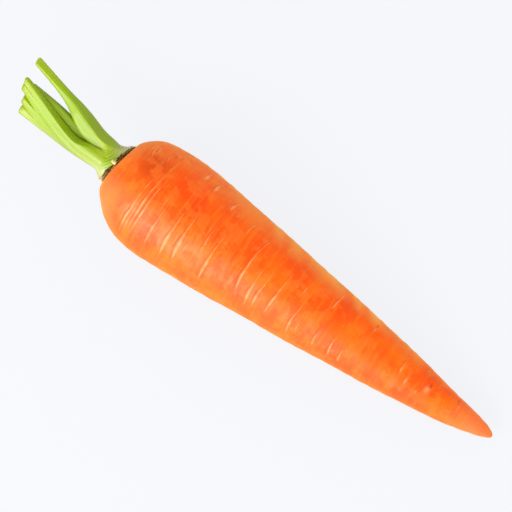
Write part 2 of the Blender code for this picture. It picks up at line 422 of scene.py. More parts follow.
# %% Pits where side roots grew
# Along the root (mm), round it (degrees), half size along and round it (mm), depth (mm) and how
# dark it is.
PITS = (
    (20.6, 53, 0.7, 2.3, 0.2, 0.45),
    (22.9, 56, 0.4, 1.9, 0.2, 0.7),
    (13.4, 50, 0.35, 1.5, 0.15, 0.7),
    (119.8, 50, 0.6, 0.9, 0.3, 0.8),
    (149.3, 21, 0.6, 1.0, 0.3, 0.75),
    (161.6, 46, 0.8, 1.6, 0.2, 0.5),
    (132.6, 4, 0.5, 0.7, 0.15, 0.5),
)
BACK_PITS = 12
BUMP_ALONG, BUMP_ACROSS, BUMP_HEIGHT = 148.7, 1.0, 0.45
pit_dark = np.zeros_like(arc)
back_pits = [
    (chance.uniform(14, 165), chance.uniform(85, 275), 0.5, chance.uniform(0.7, 1.8), 0.3, 0.7)
    for _ in range(BACK_PITS)
]
for middle, degrees, tall, wide, depth, dark in (*PITS, *back_pits):
    offset = (angle - math.radians(degrees) + math.pi) % math.tau - math.pi
    reach = np.hypot((along - middle) / tall, radius * offset / wide)
    relief -= depth * np.exp(-((reach * 1.4) ** 2))
    relief += 0.4 * depth * np.exp(-(((reach - 1.45) / 0.5) ** 2))
    pit_dark = np.maximum(pit_dark, dark * np.exp(-((reach * 1.5) ** 2)))
from_top = radius * (angle - math.tau)
bump_reach = np.hypot((along - BUMP_ALONG) / 1.1, (from_top - BUMP_ACROSS) / 1.3)
relief += BUMP_HEIGHT * np.exp(-(bump_reach**2))
cork_line = np.maximum(cork_line, 0.8 * np.exp(-(bump_reach**2)))
print(f"{len(PITS) + BACK_PITS} pits")

# %% [markdown]
# Under the scars the root swells and narrows slowly, because soil pressed it unevenly. A few
# long waves do that. Shorter, weaker waves make the faint rings between the scars. The +Y
# shoulder is hollow next to the crown and full behind it, and the skin dips round the crown.

# %% Slow swellings
SWELLINGS, SWELLING_HEIGHT = 9, 0.05
RING_WAVES, RING_WAVE_HEIGHT = 14, 0.01
# Along the root (mm), length (mm) and height (mm).
SHOULDER_SWELLS = ((5.0, 2.0, -0.3), (13.0, 4.5, 0.45))
RIM_GROOVE = 0.5


def band(middle, length):
    """1 at this distance from the crown, fading over this length to both sides."""
    return np.exp(-(((along - middle) / length) ** 2))


for _ in range(SWELLINGS):
    length, lobes, phase = chance.uniform(28, 75), chance.integers(1, 4), chance.uniform(0, 6, 2)
    wave = np.sin(along / length * math.tau + phase[0]) * np.cos(lobes * angle + phase[1])
    relief += SWELLING_HEIGHT * wave
for _ in range(RING_WAVES):
    length, lobes, phase = chance.uniform(4, 13), chance.integers(1, 5), chance.uniform(0, 6, 2)
    wave = np.sin(along / length * math.tau + phase[0] + 0.8 * np.sin(angle + phase[1]))
    relief += RING_WAVE_HEIGHT * wave * (1 + np.cos(lobes * angle + phase[1]))
for middle, length, height in SHOULDER_SWELLS:
    relief += height * band(middle, length) * smooth_step(np.sin(angle), 0.2, 1)
relief -= RIM_GROOVE * np.exp(-(((from_rim - 0.5) / 0.8) ** 2)) * smooth_step(from_rim, 0, 0.4)
relief *= smooth_step(from_rim, -0.2, 0.5) * smooth_step(from_tip, 0, 2.5)
print(f"relief from {relief.min():.2f} to {relief.max():.2f} mm")

# %% [markdown]
# The relief moves each point square to the outline. No root is quite straight, so its middle
# sways a little to the side near both ends, and leans at the crown. Last, everything that would
# sink into the table is pressed flat on it, which is the narrow strip the root rests on.

# %% Finished points of the root
CROWN_RINGS = 9
CROWN_SWAY, TIP_SWAY, BODY_SWAY = 0.4, 0.8, -0.1
CROWN_LEAN = 0.95
skin_x = along - relief * slope_r
skin_r = radius + relief * slope_x
sway = CROWN_SWAY * (1 - smooth_step(along, 4, 26)) + BODY_SWAY
sway = sway + TIP_SWAY * smooth_step(along, 155, 182)
sway -= CROWN_LEAN * band(CROWN_X, 2.0)
skin = np.stack([skin_x, skin_r * np.sin(angle) + sway, skin_r * np.cos(angle)], -1)

crown_centre = np.array([CROWN_X + CROWN_SLANT * CROWN_CENTRE_Y, CROWN_CENTRE_Y, 0])
inward = np.linspace(0.08, 1, CROWN_RINGS + 1)[:-1, None, None]
crown = crown_centre + (skin[0] - crown_centre) * inward
crown[..., 0] += 0.1 * np.sin(9 * turn + 4 * inward[..., 0])
rings = np.concatenate([crown, skin])
above = lay_down(rings)[..., 2]
rings[..., 2] += np.maximum(-above, 0) / MM / tilt_cos
print("lowest point after pressing flat, mm:", round(lay_down(rings)[..., 2].min() / MM, 3))

# %% [markdown]
# Some colours belong to a place: the shoulder beside the crown is painted darker and redder as shade,
# the -Y side beside the crown is painted lighter as a highlight, the tip is pale young skin, and the
# +Y flank is painted lighter and yellower as fill light. Each place is a mask from 0 to 1 that is kept
# on the points, so that the material can read it by name.

# %% Where the skin has other colours
beside = skin[..., 1]
# painted shade: the shoulder beside the crown, on the side away from the key light, is darker and
# redder
painted_shade_shoulder = band(15, 7) * smooth_step(beside, -6, 8) * smooth_step(-beside, -18, -11)
red_orange = band(37.4, 2.2) * smooth_step(beside, 0, 5) * smooth_step(-beside, -18, -13)
# painted highlight: lighter peach skin beside the crown on the -Y side, which faces the key light
painted_highlight_beside_crown = 0.9 * band(8.5, 5.5) * smooth_step(-beside, -1, 8)
pale_tip_and_painted_highlight = np.maximum(painted_highlight_beside_crown, smooth_step(along, 156, 172))
# painted light: the +Y flank is made lighter and yellower in colour, standing in for fill light
painted_flank_light = smooth_step(along, 20, 75) * (1 - smooth_step(along, 128, 145))
painted_flank_light = painted_flank_light * smooth_step(np.sin(angle), 0.6, 1.0)
# Slow waves break the yellow up, so that it isn't an even stripe.
painted_flank_light *= 0.6 + 0.4 * np.sin(0.45 * along + 2 * np.sin(0.17 * along) + 3 * angle)
brown_side = 1 - 0.85 * smooth_step(-np.sin(turn), 0.82, 0.98)
crown_cork = brown_side * np.exp(-((np.maximum(from_rim - 0.5, 0) / 0.55) ** 2))
skin_masks = {
    "cork_line": cork_line,
    "groove_painted_shade": groove_painted_shade,
    "pit_dark": pit_dark,
    "crown_cork": crown_cork,
    "painted_shade_shoulder": painted_shade_shoulder,
    "red_orange": red_orange,
    "pale_tip_and_painted_highlight": pale_tip_and_painted_highlight,
    "painted_flank_light": painted_flank_light,
}
on_crown = {label: np.zeros((CROWN_RINGS, SIDES)) for label in skin_masks}
on_crown["crown_cork"] = np.ones((CROWN_RINGS, SIDES)) * brown_side
values = {label: np.concatenate([on_crown[label], mask]) for label, mask in skin_masks.items()}
carrot_skin = tube_skin(
    "carrot_root_skin", rings, values, replaces="taproot"
)
print("root skin faces:", len(carrot_skin.data.polygons))

# %% [markdown]
# ## Carrot skin, washed and still moist
# The skin of a washed carrot is a thin corky layer over orange flesh. Water in the flesh lets
# light in, so the orange is deep and nothing in it is grey; the damp skin gives one broad satin
# shine rather than a sharp one. Colour moves in blotches about a centimetre wide, from red
# orange to yellow orange, with fainter streaks across the root. Scars are pale dry cork.

# %% Shader of the root
# Damp carrot skin: satin, with a soft warm bloom at its edges and orange light from within.
skin_material, tree, shader = new_material(
    "carrot_periderm_washed",
    IOR=1.5,
    Sheen_Weight=0.5,
    Sheen_Roughness=0.5,
    Sheen_Tint=(1.0, 0.66, 0.14, 1),
    Specular_IOR_Level=0.5,
    Subsurface_Weight=0.12,
    Subsurface_Scale=0.003,
    Subsurface_Radius=(1.0, 0.35, 0.1),
)
masks = {
    label: add_node(tree, "ShaderNodeAttribute", attribute_name=label).outputs["Fac"]
    for label in skin_masks
}

# %% [markdown]
# Six noises make the patterns, each at the size of a real thing in millimetres. The streaks come
# from a space that is squeezed along the root's length, so that they run across it.

# %% Patterns of the root
ACROSS_ROOT = (1.0, 0.09, 0.09)
place = add_node(tree, "ShaderNodeTexCoord").outputs["Object"]
squeezed = add_node(tree, "ShaderNodeMapping", {"Vector": place, "Scale": ACROSS_ROOT})
round_root = squeezed.outputs["Vector"]
blotch, mottle, speck, streak, cork_grain, grain = (
    add_node(
        tree,
        "ShaderNodeTexNoise",
        {"Vector": vector, "Scale": PER_METRE / size, "Detail": detail, "Roughness": 0.6},
    ).outputs["Fac"]
    for vector, size, detail in (
        (place, 14, 3.0),  # blotches of orange
        (place, 6, 3.0),  # patches of paler skin
        (place, 0.9, 2.0),  # corky dots, drawn about twice as coarse as real ones so that they show
        (round_root, 1.3, 4.0),  # rings of growth
        (place, 0.9, 4.0),  # dry cork at the crown
        (place, 0.7, 5.0),  # the skin's own grain, also drawn coarser than it is
    )
)

# %% [markdown]
# The colours then lie over each other like glazes. Each has a share, which says where it is, a
# tint and a strength. The scars, the pits and the brown rim of the crown come last, on top.

# %% Colours of the root
mixed, cork_tone = (
    add_node(tree, "ShaderNodeValToRGB", {"Fac": fac}, stops=stops).outputs["Color"]
    for fac, stops in (
        (blotch, ((0.34, "#EC4600"), (0.46, "#F04E00"), (0.6, "#F25C00"), (0.78, "#F06C06"))),
        (cork_grain, ((0.35, "#241002"), (0.52, "#6A3A10"), (0.68, "#B07A3C"))),
    )
)
streak_share, mottle_share, speck_share = (
    add_node(tree, "ShaderNodeValToRGB", {"Fac": fac}, stops=stops).outputs["Color"]
    for fac, stops in (
        (streak, ((0.48, 0.0), (0.72, 0.5))),
        (mottle, ((0.52, 0.0), (0.56, 0.3))),
        (speck, ((0.68, 0.0), (0.74, 0.4))),
    )
)
for share, tint, strength in (
    (masks["painted_shade_shoulder"], "#C83600", 0.85),  # painted shade: a darker, redder shoulder beside the crown
    (masks["red_orange"], "#F03000", 0.65),  # where the skin was rubbed thin
    (masks["pale_tip_and_painted_highlight"], "#F07C48", 0.65),  # young skin at the tip, and a painted highlight beside the crown on the -Y side
    (masks["painted_flank_light"], "#F8A040", 0.7),  # painted light: a lighter, yellower +Y flank, as fill light would make it
    (streak_share, "#F07C14", 1.0),
    (mottle_share, "#F07C2C", 1.0),
    (speck_share, "#F8A868", 1.0),
    (masks["cork_line"], "#F6A064", 0.8),  # scars
    (masks["groove_painted_shade"], "#B84408", 0.65),  # painted shade in the slit beside each scar
    (masks["pit_dark"], "#A83600", 1.0),  # soil left in the pits
    (masks["crown_cork"], cork_tone, 1.0),  # the brown rim of the crown
):
    share = add_node(tree, "ShaderNodeMath", {0: share, 1: strength}, operation="MULTIPLY")
    tint = colour(tint) if isinstance(tint, str) else tint
    mixed = add_node(
        tree,
        "ShaderNodeMix",
        {FACTOR: share.outputs["Value"], COLOUR_A: mixed, COLOUR_B: tint},
        data_type="RGBA",
    ).outputs[MIXED]
tree.links.new(mixed, shader.inputs["Base Color"])

# %% [markdown]
# Patches of paler skin are a little glossier than the rest, and a fine grain breaks up the shine.

# %% Gloss and grain of the root
gloss = add_node(
    tree,
    "ShaderNodeMapRange",
    {"Value": mottle, "From Min": 0.35, "From Max": 0.65, "To Min": 0.56, "To Max": 0.34},
)
tree.links.new(gloss.outputs["Result"], shader.inputs["Roughness"])
bump = add_node(tree, "ShaderNodeBump", {"Height": grain, "Strength": 0.5, "Distance": 0.12 * MM})
tree.links.new(bump.outputs["Normal"], shader.inputs["Normal"])
carrot_skin.data.materials.append(skin_material)
print(len(tree.nodes), "nodes in", skin_material.name)

# %% [markdown]
# ## Leaf stalks, packed together and cut with a knife
# Seven leaf stalks share the crown. Low down they press on each other until no room is left
# between them, so together they fill one smooth outline. Higher up they part and round off.
# Each section is found ray by ray: the stalk reaches to its own outline, or to the plane half
# way to a neighbour. Flat faces along a stalk meet in its keel, the ridge with one lit and one
# shaded side. First come the places and sizes of the seven stalks.

# %% The seven stalks
STOPS = (0.0, 0.36, 0.66, 1.0)  # shares of the bunch's length, from the crown to the cut
# Centre (across, up) at four stops, half width at the stops, length past the cut, all in mm,
# then the faces: degrees from straight up towards +Y, and distance at the base, half way and at
# the cut, as shares of the half width.
STALKS = (
    (
        ((5.0, 3.4), (7.2, 4.6), (12.1, 5.4), (16.5, 6.2)), (2.2, 4.7, 2.3, 1.75), -1.0,
        ((-25, 0.86, 0.86, 1.0), (22, 1.3, 1.05, 0.5), (55, 0.45, 0.8, 0.9)),
    ),
    (
        ((0.3, 4.7), (0.2, 5.0), (3.0, 5.2), (7.9, 5.8)), (3.0, 2.7, 2.4, 1.45), 0.0,
        ((55, 1.1, 0.14, 0.8), (85, 1.1, 0.4, 0.8)),
    ),
    (
        ((-1.3, 2.6), (-1.7, 3.0), (0.6, 3.4), (5.5, 4.2)), (2.7, 2.7, 2.5, 2.1), 0.2,
        ((-38, 1.3, 1.3, 0.95), (40, 1.3, 1.3, 0.9)),
    ),
    (
        ((-1.5, -0.6), (-2.3, 0.8), (-1.2, 1.3), (1.8, 2.1)), (2.6, 2.4, 2.1, 1.8), -1.4,
        ((-38, 1.3, 1.3, 0.95), (30, 1.3, 1.3, 0.9)),
    ),
    (
        ((-0.9, -3.9), (-2.4, -1.7), (-2.4, -1.2), (-2.5, -0.8)), (3.0, 2.5, 2.2, 1.6), -1.9,
        ((-60, 1.3, 1.3, 0.95),),
    ),
    (
        ((3.0, 0.0), (3.5, 1.2), (5.4, 1.8), (7.1, 2.1)), (3.1, 2.8, 2.7, 2.1), -2.8,
        ((-10, 0.9, 0.85, 0.85), (75, 0.9, 0.8, 0.8)),
    ),
    (
        ((5.2, -4.1), (3.6, -3.4), (3.0, -2.9), (2.8, -2.6)), (3.4, 2.9, 2.3, 1.8), -2.4,
        ((150, 1.0, 0.9, 0.9), (210, 1.0, 0.9, 0.9)),
    ),
)
FACE_STOPS = (0.2, 0.42, 1.0)  # where the faces have their three distances
EVERY_STALK = tuple(range(len(STALKS)))
BUNDLE = (1, 2, 3, 4, 6)  # the stalks that stay pressed together nearly to the cut
TWINS = (1, 2)  # these two never part
SPLIT_PAIR = (3, 4)  # a narrow split shows between these two half way up
print(len(STALKS), "leaf stalks")

# %% [markdown]
# A stalk's centre and width run on a smooth curve through four stops, and its foot flares out.

# %% How thick a stalk is and where
BUNCH_LENGTH = 41.0
SHEATH_HALF_THICKNESS = 3.5
FLARE, FLARE_LENGTH = 0.7, 1.6


def between_stops(values, share):
    """A value at this share of the bunch, on a smooth curve through its four stops."""
    values = np.array(values, float)
    last = len(STOPS) - 1
    ahead = [values[min(i + 1, last)] - values[max(i - 1, 0)] for i in range(4)]
    slopes = [ahead[i] / (STOPS[min(i + 1, last)] - STOPS[max(i - 1, 0)]) for i in range(4)]
    i = min(sum(share >= stop for stop in STOPS[1:]), last - 1)
    span = STOPS[i + 1] - STOPS[i]
    t = (share - STOPS[i]) / span
    rise = (3 - 2 * t) * t * t
    pull = (t - 1) * t * ((t - 1) * slopes[i] + t * slopes[i + 1]) * span
    return values[i] * (1 - rise) + values[i + 1] * rise + pull


def stalk_cell(number, share):
    """A stalk's centre, half width and flatness at a share of the bunch."""
    centre, half_width = (between_stops(STALKS[number][i], share) for i in (0, 1))
    flare = 1 + FLARE * math.exp(-share * BUNCH_LENGTH / FLARE_LENGTH)
    return centre, half_width * flare, min(1, SHEATH_HALF_THICKNESS / half_width)


# %% [markdown]
# Pressed stalks share one outline, like a string pulled tight round them. Straight edges at many
# angles touch it, and a ray from inside ends at the first edge that it meets.

# %% A tight outline round some stalks
HULL_TURNS = np.arange(96) / 96 * math.tau
HULL_NORMALS = np.stack([np.cos(HULL_TURNS), np.sin(HULL_TURNS)], -1)


def first_edge(distance, centre, rays):
    """How far each ray runs from a centre to the first edge at these distances from the axis."""
    distance = distance - HULL_NORMALS @ centre
    towards = rays @ HULL_NORMALS.T
    return np.where(towards > 1e-3, distance / np.maximum(towards, 1e-3), np.inf).min(1)


def hull_reach(members, share, centre, rays):
    """How far each ray runs from a centre before it leaves the smooth outline of these stalks."""
    edges = []
    for number in members:
        middle, wide, flat = stalk_cell(number, share)
        half_width = wide * np.hypot(HULL_NORMALS[:, 0], flat * HULL_NORMALS[:, 1])
        edges.append(HULL_NORMALS @ middle + half_width)
    return first_edge(np.max(edges, axis=0), centre, rays)


# %% [markdown]
# The section itself is the least of several reaches: the tight outline, the planes to the
# neighbours, the flat faces and, at the foot, the round edge of the crown.

# %% The section of a stalk
CROWN_GAP = 0.3
STALK_BASE_REACH = 8.5
RIM_HEIGHT = 2.4
SPLIT_WIDTH, SPLIT_MIDDLE, SPLIT_LENGTH = 0.09, 0.64, 0.14


def rounded_least(reaches, squareness):
    """The least of several reaches, with the corners between them rounded a little."""
    return sum((1 / np.array(reach)) ** squareness for reach in reaches) ** (-1 / squareness)


def crown_edge_reach(share, centre, rays):
    """How far each ray runs to the edge of the crown, which opens up above the rim."""
    edge = STALK_BASE_REACH + max(share * BUNCH_LENGTH - RIM_HEIGHT, 0)
    offset = centre - np.array((CROWN_CENTRE_Y, 0))
    ahead = rays @ offset
    return np.sqrt(np.maximum(ahead**2 - offset @ offset + edge**2, 0.01)) - ahead


def face_reaches(number, share, rays, size, foot):
    """How far each ray runs to each flat face of a stalk."""
    step = 0 if share < FACE_STOPS[1] else 1
    eased = float(smooth_step(share, FACE_STOPS[step], FACE_STOPS[step + 1]))
    for degrees, *distances in STALKS[number][3]:
        normal = np.array((math.sin(math.radians(degrees)), math.cos(math.radians(degrees))))
        distance = distances[step] + (distances[step + 1] - distances[step]) * eased
        yield (distance * size + 1.3 * foot**2) / np.maximum(rays @ normal, 1e-6)


def stalk_reach(number, share, rays):
    """How far the stalk reaches along each ray from its centre."""
    centre, wide, flat = stalk_cell(number, share)
    apart = float(smooth_step(share, 0.06, 0.3))
    loose = float(smooth_step(share, 0.8, 1.0))
    outer = hull_reach(TWINS if number in TWINS else (number,), share, centre, rays)
    if number in BUNDLE:
        outer = outer * loose + hull_reach(BUNDLE, share, centre, rays) * (1 - loose)
    outer = outer * apart + hull_reach(EVERY_STALK, share, centre, rays) * (1 - apart)
    reaches, seam = [crown_edge_reach(share, centre, rays)], np.inf
    split = SPLIT_WIDTH * math.exp(-(((share - SPLIT_MIDDLE) / SPLIT_LENGTH) ** 2))
    for other in EVERY_STALK:
        if other != number:
            other_centre, other_wide, _ = stalk_cell(other, share)
            between = other_centre - centre
            length = np.linalg.norm(between)
            middle = (length**2 + wide**2 - other_wide**2) / (2 * length)
            if number in SPLIT_PAIR and other in SPLIT_PAIR:
                middle -= split
            plane = max(middle, 0.1) / np.maximum(rays @ between / length, 1e-6)
            if number in TWINS and other in TWINS:
                seam = plane
            else:
                reaches.append(plane - 0.06 * loose)
    own = [outer, *face_reaches(number, share, rays, wide * flat, 1 - apart)]
    reaches.append(rounded_least(own, 11))
    return np.minimum(rounded_least(reaches, 120 - 100 * loose), seam)


# %% [markdown]
# The stalks stand on the slanted crown and end at a slanted cut, so each section leans between
# those two planes. Near the crown the -Y side is cream and the +Y side a thin grey-green skin.

# %% Where a section stands, and its tints
CUT_SLANT = -0.216


def station_x(share, across):
    """Where a section across the bunch stands along the root's axis."""
    crown_plane = CROWN_X - CROWN_GAP + CROWN_SLANT * across
    cut_plane = -BUNCH_LENGTH + CUT_SLANT * across
    return crown_plane + (cut_plane - crown_plane) * share


def crown_tints(across, up, tall):
    """Where a stalk is pale, and where it is grey-green, at a place and height over the crown."""
    turned = np.arctan2(up, across - CROWN_CENTRE_Y)
    left = smooth_step(-across, 0.5, 4.5)
    right = np.maximum(np.cos(turned - 0.3), 0) ** 2
    return {
        "cream": left * (0.3 + 0.65 * np.exp(-((tall / 6.5) ** 2))),
        "membrane": right * np.exp(-((tall / 3.2) ** 2)),
    }


# %% [markdown]
# A knife cut the tops, and each cut end has since shrunk back to a rounded rim. Fine ribs run the
# whole length of a stalk, as strands do under the skin of a real one.

# %% Rings of a stalk
STALK_SIDES = 132
STALK_RINGS = 110
RIBS = 21
RIB_HEIGHT = 0.011
# How much more the -Y side of each cut stands out.
SIDE_LEAN = (0.12, 0.0, 0.0, 0.1, 0.3, 0.0, 0.0)
# The rounded end in rings: size as a share of the cut, and how far past the cut (mm).
ROUNDED_CUT = (
    (0.96, 0.28), (0.89, 0.54), (0.79, 0.74), (0.64, 0.84), (0.46, 0.82), (0.28, 0.76), (0.12, 0.72),
)


def rounded_end(cut):
    """Rings that close a stalk past its cut."""
    middle = cut.mean(0)
    for size, out in ROUNDED_CUT:
        ring = middle + (cut - middle) * size
        ring[:, 0] -= out
        yield ring


def stalk_rings(number):
    """Rings of points from inside the crown to the rounded knife cut, and their named values."""
    around = np.arange(STALK_SIDES) / STALK_SIDES * math.tau - math.pi / 2
    rays = np.stack([np.cos(around), np.sin(around)], -1)
    longest = 1 + STALKS[number][2] / BUNCH_LENGTH
    rib_wave = 0.7 * np.cos(RIBS * around + number) + 0.3 * np.cos((RIBS + 8) * around + 2 * number)
    lean = 0.3 * math.sin(2.3 * number + 2.3)
    rings = []
    for share in longest * (np.arange(STALK_RINGS + 1) / STALK_RINGS) ** 1.2:
        centre = stalk_cell(number, share)[0]
        shown = float(smooth_step(share, 0.04, 0.3))
        reach = stalk_reach(number, share, rays) * (1 + RIB_HEIGHT * rib_wave * shown)
        across, up = (centre + rays * reach[:, None]).T
        slant = lean * (up - centre[1]) * share**3
        slant += SIDE_LEAN[number] * (across - centre[0]) * share**8
        rings.append(np.stack([station_x(share, across) + slant, across, up], -1))
    rings[0][:, 0] += CROWN_GAP + 0.3
    rings = np.array([*rings, *rounded_end(rings[STALK_RINGS])])
    shape = rings.shape[:2]
    tall = np.broadcast_to(np.linspace(0, 1, len(rings))[:, None], shape) ** 1.2 * BUNCH_LENGTH
    ends = np.clip((np.arange(len(rings)) - STALK_RINGS + 2) / 4, 0, 1)
    grain = np.stack([2.5 * rays[:, 0] + 0 * tall, 2.5 * rays[:, 1] + 0 * tall, tall / 14], -1)
    values = crown_tints(rings[..., 1], rings[..., 2], tall)
    values |= {
        "up_stalk": tall,
        "cut_end": np.broadcast_to(ends[:, None], shape),
        "grain_place": grain + 9.0 * number,
    }
    return rings, values


# %% [markdown]
# A loop now makes the seven stalks. They share one material, so they share a slot.

# %% Stalk skins
stalk_pieces = []
for number in EVERY_STALK:
    rings, values = stalk_rings(number)
    name = f"leaf_stalk_{number + 1}"
    stalk_pieces.append(tube_skin(name + "_skin", rings, values, name))
print("stalk faces:", [len(piece.data.polygons) for piece in stalk_pieces])

# %% [markdown]
# ## The common sheath
# At the crown the stalk bases are one sheath that wraps the heart of the plant. It fills the fork
# between the stalks with a low web, has fine wrinkles round it where it was squeezed, and flares
# out to the rim: cream where the soil kept the light away, and a thin grey-green flap opposite.

# %% How far the sheath wraps the stalks
def corners_of(members, share):
    """Points all round the finished sections of these stalks."""
    around = np.arange(240) / 240 * math.tau
    spokes = np.stack([np.cos(around), np.sin(around)], -1)
    found = [
        stalk_cell(number, share)[0] + spokes * stalk_reach(number, share, spokes)[:, None]
        for number in members
    ]
    return np.concatenate(found)


def wrapped_reach(members, share, centre, rays):
    """As hull_reach, but round the finished sections of the stalks, with their flat faces."""
    return first_edge((HULL_NORMALS @ corners_of(members, share).T).max(1), centre, rays)


def farthest_reach(members, share, centre, rays):
    """How far out the finished sections stand in each direction, down into every fold."""
    away = corners_of(members, share) - centre
    distance = np.hypot(*away.T)
    beside = rays @ (away / distance[:, None]).T > math.cos(math.radians(3))
    found = (distance * beside).max(1)
    return sum(np.roll(found, step) for step in (-2, -1, 0, 1, 2)) / 5


SHEATH_SIDES = 160
SAG_FROM, SAG_TO = 3.6, 7.8  # over these heights the web sinks into the folds
sheath_turn = np.arange(SHEATH_SIDES) / SHEATH_SIDES * math.tau  # from +Y towards straight up
rays = np.stack([np.cos(sheath_turn), np.sin(sheath_turn)], -1)
crown_middle = np.array((CROWN_CENTRE_Y, 0.0))
levels = np.linspace(0, 9, 19)
wraps = []
for h in levels:
    tight, deep = (
        measure(EVERY_STALK, h / (BUNCH_LENGTH + CROWN_X), crown_middle, rays)
        for measure in (wrapped_reach, farthest_reach)
    )
    sag = smooth_step(h, SAG_FROM, SAG_TO)
    wraps.append(tight * (1 - sag) + deep * sag)
print(f"the stalks' feet reach {np.min(wraps[0]):.1f} to {np.max(wraps[0]):.1f} mm out")

# %% [markdown]
# Over that wrap go a thin cover, the flares at the rim, and creases that spread from the fork
# like rings on water.

# %% Rings of the sheath
SHEATH_RINGS = 70
SHEATH_COVER = 0.12
LEFT_FLARE, RIGHT_FLARE, LOW_FLARE = 1.45, 1.1, 0.6
FORK_TALL, FORK_ACROSS = 8.0, 5.5  # the fold between the stalks, where every crease starts
CREASE_SPACING = 1.1
facing_left = np.maximum(-rays[:, 0], 0) ** 1.5
facing_right = np.maximum(np.cos(sheath_turn - 0.3), 0) ** 2
fork = np.exp(-(((sheath_turn - 1.25) / 0.6) ** 2))
wrinkled = np.exp(-(((sheath_turn - 1.45) / 0.8) ** 2))
top_edge = 3.6 + 2.6 * facing_left + 4.8 * fork + 0.3 * np.sin(3 * sheath_turn + 0.4)
rings, talls, creases = [], [], []
for step in np.linspace(0, 1, SHEATH_RINGS):
    tall = top_edge * step
    reach = np.array([np.interp(h, levels, column) for h, column in zip(tall, np.transpose(wraps))])
    reach += SHEATH_COVER - 0.5 * smooth_step(step, 0.2 + 0.4 * fork, 1.1)
    reach += LEFT_FLARE * facing_left * np.exp(-((tall / 3.3) ** 2))
    reach += RIGHT_FLARE * facing_right * np.exp(-tall / 2.6) * (1 + 0.1 * np.sin(9 * sheath_turn))
    reach += LOW_FLARE * (1 - facing_left) * (1 - facing_right) * np.exp(-((tall / 1.5) ** 2))
    from_fork = np.hypot(tall - FORK_TALL, 0.8 * (CROWN_CENTRE_Y + rays[:, 0] * reach - FORK_ACROSS))
    crease = np.sin(from_fork / CREASE_SPACING * math.tau)
    crease *= 0.7 + 0.3 * np.sin(4 * sheath_turn + tall)
    reach += (0.04 + 0.12 * wrinkled) * crease * np.sin(math.pi * min(step * 1.1, 1)) ** 0.5
    reach = np.minimum(reach, STALK_BASE_REACH + 0.2 + 0.12 * np.sin(11 * sheath_turn) + tall)
    across, up = (crown_middle + rays * reach[:, None]).T
    rim = CROWN_X - CROWN_GAP + CROWN_SLANT * across
    rings.append(np.stack([rim - tall, across, up], -1))
    talls.append(tall)
    creases.append(from_fork)

# %% [markdown]
# Smaller and smaller rings close the top of the sheath inside the bunch, where nothing shows.

# %% Sheath
top = rings[-1].mean(0)
for size in (0.9, 0.75, 0.55, 0.3, 0.1):
    rings.append(top + (rings[SHEATH_RINGS - 1] - top) * size)
    talls.append(talls[-1])
    creases.append(creases[-1])
rings, talls = np.array(rings), np.array(talls)
sheath_grain = np.stack([np.array(creases) / 0.7, rings[..., 1] / 9, rings[..., 2] / 9], -1)
values = crown_tints(rings[..., 1], rings[..., 2], talls)
values |= {"up_stalk": talls, "cut_end": 0 * talls, "grain_place": sheath_grain}
sheath = tube_skin("leaf_sheath_round_the_crown", rings, values)
print("sheath faces:", len(sheath.data.polygons))

# %% [markdown]
# ## Fresh leaf stalk
# A fresh carrot stalk is firm, wet green tissue under a thin waxy skin: yellow green, nearly
# cream where the light never reached it at the crown, with fine paler strands along it. The wax
# gives a soft shine along each ridge.

# %% Shader of the stalks
# Waxed green tissue: a broad soft shine over green light from within.
stalk_material, tree, shader = new_material(
    "leaf_stalk_fresh_waxy",
    IOR=1.5,
    Roughness=0.45,
    Coat_Weight=0.6,
    Coat_Roughness=0.42,
    Subsurface_Weight=0.1,
    Subsurface_Scale=0.0015,
    Subsurface_Radius=(0.6, 1.0, 0.1),
)
named = {
    label: add_node(tree, "ShaderNodeAttribute", attribute_name=label).outputs["Fac"]
    for label in ("up_stalk", "cut_end", "cream", "membrane")
}
grain_place = add_node(tree, "ShaderNodeAttribute", attribute_name="grain_place").outputs["Vector"]

# %% [markdown]
# The green turns a little yellower up the stalk. Strands are a noise in a space of its own, long
# up the stalk and fine round it; they are drawn about three times as wide as real ones.

# %% Colours of the stalks
height_share = add_node(
    tree, "ShaderNodeMapRange", {"Value": named["up_stalk"], "From Max": BUNCH_LENGTH}
)
by_height = add_node(
    tree,
    "ShaderNodeValToRGB",
    {"Fac": height_share.outputs["Result"]},
    stops=((0.0, "#86A018"), (0.14, "#8CA418"), (0.4, "#88A412"), (0.8, "#8EA814"), (1.0, "#98AA16")),
)
strand = add_node(
    tree,
    "ShaderNodeTexNoise",
    {"Vector": grain_place, "Scale": 1.6, "Detail": 3.0, "Roughness": 0.55},
)
strand_share = add_node(
    tree, "ShaderNodeValToRGB", {"Fac": strand.outputs["Fac"]}, stops=((0.45, 0.0), (0.75, 0.4))
)
mixed = by_height.outputs["Color"]
for share, tint in (
    (strand_share.outputs["Color"], "#ACC048"),
    (named["cream"], "#C2C686"),
    (named["membrane"], "#CABE94"),
    (named["cut_end"], "#98A824"),
):
    mixed = add_node(
        tree,
        "ShaderNodeMix",
        {FACTOR: share, COLOUR_A: mixed, COLOUR_B: colour(tint)},
        data_type="RGBA",
    ).outputs[MIXED]
tree.links.new(mixed, shader.inputs["Base Color"])
stalk_bump = add_node(
    tree, "ShaderNodeBump", {"Height": strand.outputs["Fac"], "Strength": 0.15, "Distance": 0.2 * MM}
)
tree.links.new(stalk_bump.outputs["Normal"], shader.inputs["Normal"])
for piece in (*stalk_pieces, sheath):
    piece.data.materials.append(stalk_material)

# %% [markdown]
# ## Dry leaf bases round the crown
# Older leaves have died and dropped, and their bases stay on the rim as brown papery scales.
# Each is a thin curved shell, low at both ends and torn along its top, with upright fibres.

